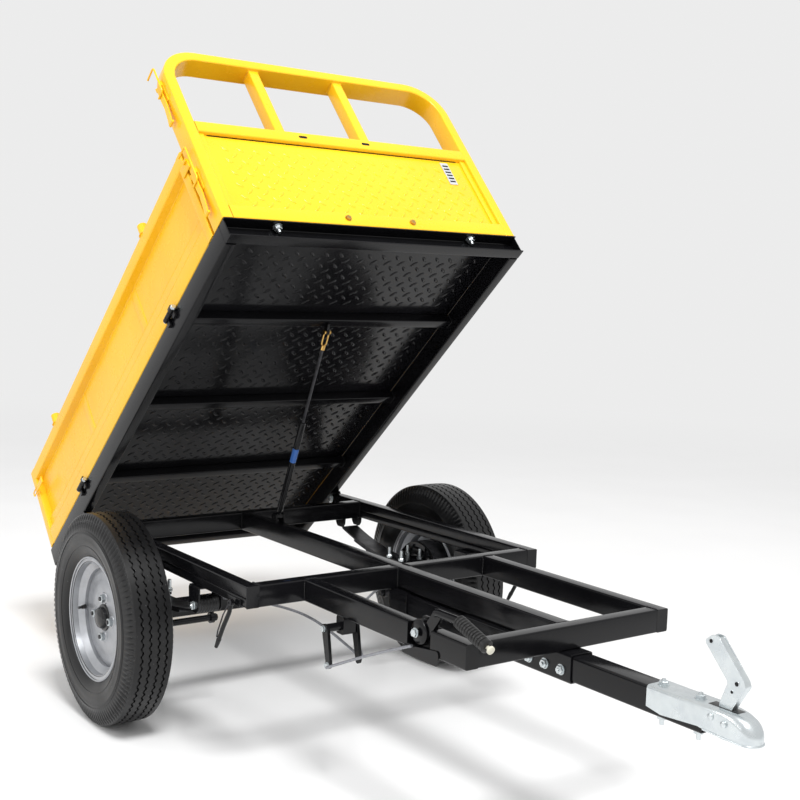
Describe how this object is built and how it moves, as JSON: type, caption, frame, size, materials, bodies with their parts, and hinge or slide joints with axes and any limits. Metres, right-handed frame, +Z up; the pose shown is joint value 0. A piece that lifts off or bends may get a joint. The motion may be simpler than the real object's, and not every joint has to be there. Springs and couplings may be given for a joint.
{
  "type": "tow behind cart",
  "caption": "Tipping garden trailer with a sprung axle, drawbar with ball coupling, hand brake, folding side walls and a high front frame.",
  "frame": {"origin": "on the ground under the middle of the axle", "axes": "+X forward to the coupling, +Y to the left, +Z up"},
  "size_m": [2.6139, 1.23, 1.7947],
  "materials": {
    "yellow_paint": "lemon yellow gloss powder coat",
    "black_paint": "black gloss powder coat",
    "tyre_rubber": "matte tyre rubber",
    "rim_silver": "silver wheel paint",
    "zinc": "bright zinc plate",
    "cast_drum": "grey cast iron",
    "spring_black": "satin black spring steel",
    "cable_jacket": "grey cable jacket",
    "cap_plastic": "black plastic",
    "button_plastic": "pale plastic",
    "lining": "brake lining"
  },
  "bodies": {
    "chassis": {"main_rails": "black_paint", "chassis_crossmembers": "black_paint", "centre_beam": "black_paint", "subframe_rails": "black_paint", "drawbar_sleeves": "black_paint", "drawbar": "black_paint", "drawbar_bolts": "zinc", "coupling_body": "zinc", "spring_hangers": "black_paint", "strut_bracket": "black_paint", "handbrake_bracket": "black_paint", "brake_cables": "cable_jacket"},
    "axle": {"axle_beam": "black_paint", "leaf_springs": "spring_black", "spring_plates": "black_paint", "u_bolts": "zinc", "backplates": "black_paint", "brake_shoes": "lining"},
    "cam_shaft_right": {"cam_shaft_right": "black_paint"},
    "cam_shaft_left": {"cam_shaft_left": "black_paint"},
    "wheel_right": {"tyre_right": "tyre_rubber", "rim_right": "rim_silver", "hub_drum_right": "cast_drum", "wheel_nuts_right": "zinc", "dust_cap_right": "cap_plastic"},
    "wheel_left": {"tyre_left": "tyre_rubber", "rim_left": "rim_silver", "hub_drum_left": "cast_drum", "wheel_nuts_left": "zinc", "dust_cap_left": "cap_plastic"},
    "box": {"box_rails": "black_paint", "pivot_bolts": "zinc", "box_crossmembers": "black_paint", "front_channel": "black_paint", "floor_plate": "black_paint", "front_frame": "yellow_paint", "front_panel": "yellow_paint", "side_hinges": "black_paint", "latch_bases": "yellow_paint"},
    "side_wall_right": {"side_wall_right": "yellow_paint"},
    "side_wall_left": {"side_wall_left": "yellow_paint"},
    "tailgate": {"tailgate": "yellow_paint"},
    "strut_cylinder": {"strut_cylinder": "black_paint"},
    "strut_rod": {"strut_rod": "zinc"},
    "coupling_handle": {"coupling_handle": "zinc"},
    "brake_lever": {"brake_lever": "black_paint"},
    "brake_button": {"brake_button": "button_plastic"},
    "cross_shaft": {"cross_shaft": "black_paint"},
    "latch_lever_lower_right": {"latch_lever_lower_right": "yellow_paint"},
    "latch_bail_lower_right": {"latch_bail_lower_right": "yellow_paint"},
    "latch_lever_lower_left": {"latch_lever_lower_left": "yellow_paint"},
    "latch_bail_lower_left": {"latch_bail_lower_left": "yellow_paint"},
    "latch_lever_upper_right": {"latch_lever_upper_right": "yellow_paint"},
    "latch_bail_upper_right": {"latch_bail_upper_right": "yellow_paint"},
    "latch_lever_upper_left": {"latch_lever_upper_left": "yellow_paint"},
    "latch_bail_upper_left": {"latch_bail_upper_left": "yellow_paint"},
    "rear_latch_right": {"rear_latch_right": "yellow_paint"},
    "rail_toggle_right": {"rail_toggle_right": "black_paint"},
    "rear_latch_left": {"rear_latch_left": "yellow_paint"},
    "rail_toggle_left": {"rail_toggle_left": "black_paint"}
  },
  "joints": [
    {"name": "axle_travel", "type": "slide", "parent": "chassis", "child": "axle", "axis": [0, 0, 1], "range_m": [-0.02, 0.03], "stiffness_N_per_m": 60000, "springref_m": -0.02, "deforming": ["leaf_springs"]},
    {"name": "wheel_right_spin", "type": "hinge", "parent": "axle", "child": "wheel_right", "pos_m": [0, -0.549, 0.284], "axis": [0, 1, 0], "continuous": true},
    {"name": "wheel_left_spin", "type": "hinge", "parent": "axle", "child": "wheel_left", "pos_m": [0, 0.549, 0.284], "axis": [0, 1, 0], "continuous": true},
    {"name": "box_tip", "type": "hinge", "parent": "chassis", "child": "box", "pos_m": [-0.432, 0, 0.465], "axis": [0, 1, 0], "range_deg": [0, 42]},
    {"name": "strut_swing", "type": "hinge", "parent": "chassis", "child": "strut_cylinder", "pos_m": [-0.06, 0, 0.502], "axis": [0, 1, 0], "range_deg": [0, 67.6]},
    {"name": "strut_extension", "type": "slide", "parent": "strut_cylinder", "child": "strut_rod", "axis": [0.3986, 0, 0.9171], "range_m": [-0.12782, 0]},
    {"name": "side_wall_right_fold", "type": "hinge", "parent": "box", "child": "side_wall_right", "pos_m": [-0.70937, -0.465, 0.32022], "axis": [-0.7431, 0, -0.6691], "range_deg": [-90, 0]},
    {"name": "side_wall_left_fold", "type": "hinge", "parent": "box", "child": "side_wall_left", "pos_m": [-0.70937, 0.465, 0.32022], "axis": [0.7431, 0, 0.6691], "range_deg": [-90, 0]},
    {"name": "tailgate_drop", "type": "hinge", "parent": "box", "child": "tailgate", "pos_m": [-0.71174, 0, 0.31539], "axis": [0, 1, 0], "range_deg": [-180, 0]},
    {"name": "latch_lever_lower_right_open", "type": "hinge", "parent": "box", "child": "latch_lever_lower_right", "pos_m": [0.28402, -0.463, 1.45419], "axis": [0.7431, 0, 0.6691], "range_deg": [-110, 0]},
    {"name": "latch_bail_lower_right_swing", "type": "hinge", "parent": "latch_lever_lower_right", "child": "latch_bail_lower_right", "pos_m": [0.2974, -0.4698, 1.43932], "axis": [0.7431, 0, 0.6691], "range_deg": [-1, 111]},
    {"name": "latch_lever_lower_left_open", "type": "hinge", "parent": "box", "child": "latch_lever_lower_left", "pos_m": [0.28402, 0.463, 1.45419], "axis": [-0.7431, 0, -0.6691], "range_deg": [-110, 0]},
    {"name": "latch_bail_lower_left_swing", "type": "hinge", "parent": "latch_lever_lower_left", "child": "latch_bail_lower_left", "pos_m": [0.2974, 0.4698, 1.43932], "axis": [-0.7431, 0, -0.6691], "range_deg": [-1, 111]},
    {"name": "latch_lever_upper_right_open", "type": "hinge", "parent": "box", "child": "latch_lever_upper_right", "pos_m": [0.07659, -0.463, 1.68456], "axis": [0.7431, 0, 0.6691], "range_deg": [-110, 0]},
    {"name": "latch_bail_upper_right_swing", "type": "hinge", "parent": "latch_lever_upper_right", "child": "latch_bail_upper_right", "pos_m": [0.08997, -0.4698, 1.6697], "axis": [0.7431, 0, 0.6691], "range_deg": [-1, 111]},
    {"name": "latch_lever_upper_left_open", "type": "hinge", "parent": "box", "child": "latch_lever_upper_left", "pos_m": [0.07659, 0.463, 1.68456], "axis": [-0.7431, 0, -0.6691], "range_deg": [-110, 0]},
    {"name": "latch_bail_upper_left_swing", "type": "hinge", "parent": "latch_lever_upper_left", "child": "latch_bail_upper_left", "pos_m": [0.08997, 0.4698, 1.6697], "axis": [-0.7431, 0, -0.6691], "range_deg": [-1, 111]},
    {"name": "rear_latch_right_open", "type": "hinge", "parent": "side_wall_right", "child": "rear_latch_right", "pos_m": [-0.77519, -0.463, 0.5368], "axis": [0.6691, 0, -0.7431], "range_deg": [-100, 0]},
    {"name": "rail_toggle_right_swing", "type": "hinge", "parent": "chassis", "child": "rail_toggle_right", "pos_m": [0.53, -0.465, 0.433], "axis": [0, 1, 0], "range_deg": [-40, 30]},
    {"name": "rear_latch_left_open", "type": "hinge", "parent": "side_wall_left", "child": "rear_latch_left", "pos_m": [-0.77519, 0.463, 0.5368], "axis": [-0.6691, 0, 0.7431], "range_deg": [-100, 0]},
    {"name": "rail_toggle_left_swing", "type": "hinge", "parent": "chassis", "child": "rail_toggle_left", "pos_m": [0.53, 0.465, 0.433], "axis": [0, 1, 0], "range_deg": [-40, 30]},
    {"name": "coupling_handle_lift", "type": "hinge", "parent": "chassis", "child": "coupling_handle", "pos_m": [1.63, 0, 0.412], "axis": [0, 1, 0], "range_deg": [0, 20]},
    {"name": "brake_lever_pull", "type": "hinge", "parent": "chassis", "child": "brake_lever", "pos_m": [1.045, -0.286, 0.468], "axis": [0, -1, 0], "range_deg": [0, 50], "deforming": ["brake_cables"]},
    {"name": "brake_button_press", "type": "slide", "parent": "brake_lever", "child": "brake_button", "axis": [-0.9507, 0, 0.3102], "range_m": [0, 0.006], "stiffness_N_per_m": 400, "springref_m": -0.001},
    {"name": "cross_shaft_turn", "type": "hinge", "parent": "chassis", "child": "cross_shaft", "pos_m": [0.736, -0.29, 0.404], "axis": [0, -1, 0], "range_deg": [-1, 18]},
    {"name": "cam_shaft_right_turn", "type": "hinge", "parent": "axle", "child": "cam_shaft_right", "pos_m": [0.088, -0.38, 0.268], "axis": [0, 1, 0], "range_deg": [-1, 26]},
    {"name": "cam_shaft_left_turn", "type": "hinge", "parent": "axle", "child": "cam_shaft_left", "pos_m": [0.088, 0.38, 0.268], "axis": [0, 1, 0], "range_deg": [-1, 26]}
  ],
  "couplings": [
    {"joint": "strut_swing", "follows": "box_tip", "ratio": 1.5977},
    {"joint": "strut_extension", "follows": "box_tip", "m_per_rad": -0.17164},
    {"joint": "cross_shaft_turn", "follows": "brake_lever_pull", "ratio": 0.3318},
    {"joint": "cam_shaft_right_turn", "follows": "brake_lever_pull", "ratio": 0.49},
    {"joint": "cam_shaft_left_turn", "follows": "brake_lever_pull", "ratio": 0.49},
    {"joint": "latch_bail_lower_right_swing", "follows": "latch_lever_lower_right_open", "ratio": -1},
    {"joint": "latch_bail_lower_left_swing", "follows": "latch_lever_lower_left_open", "ratio": -1},
    {"joint": "latch_bail_upper_right_swing", "follows": "latch_lever_upper_right_open", "ratio": -1},
    {"joint": "latch_bail_upper_left_swing", "follows": "latch_lever_upper_left_open", "ratio": -1}
  ]
}
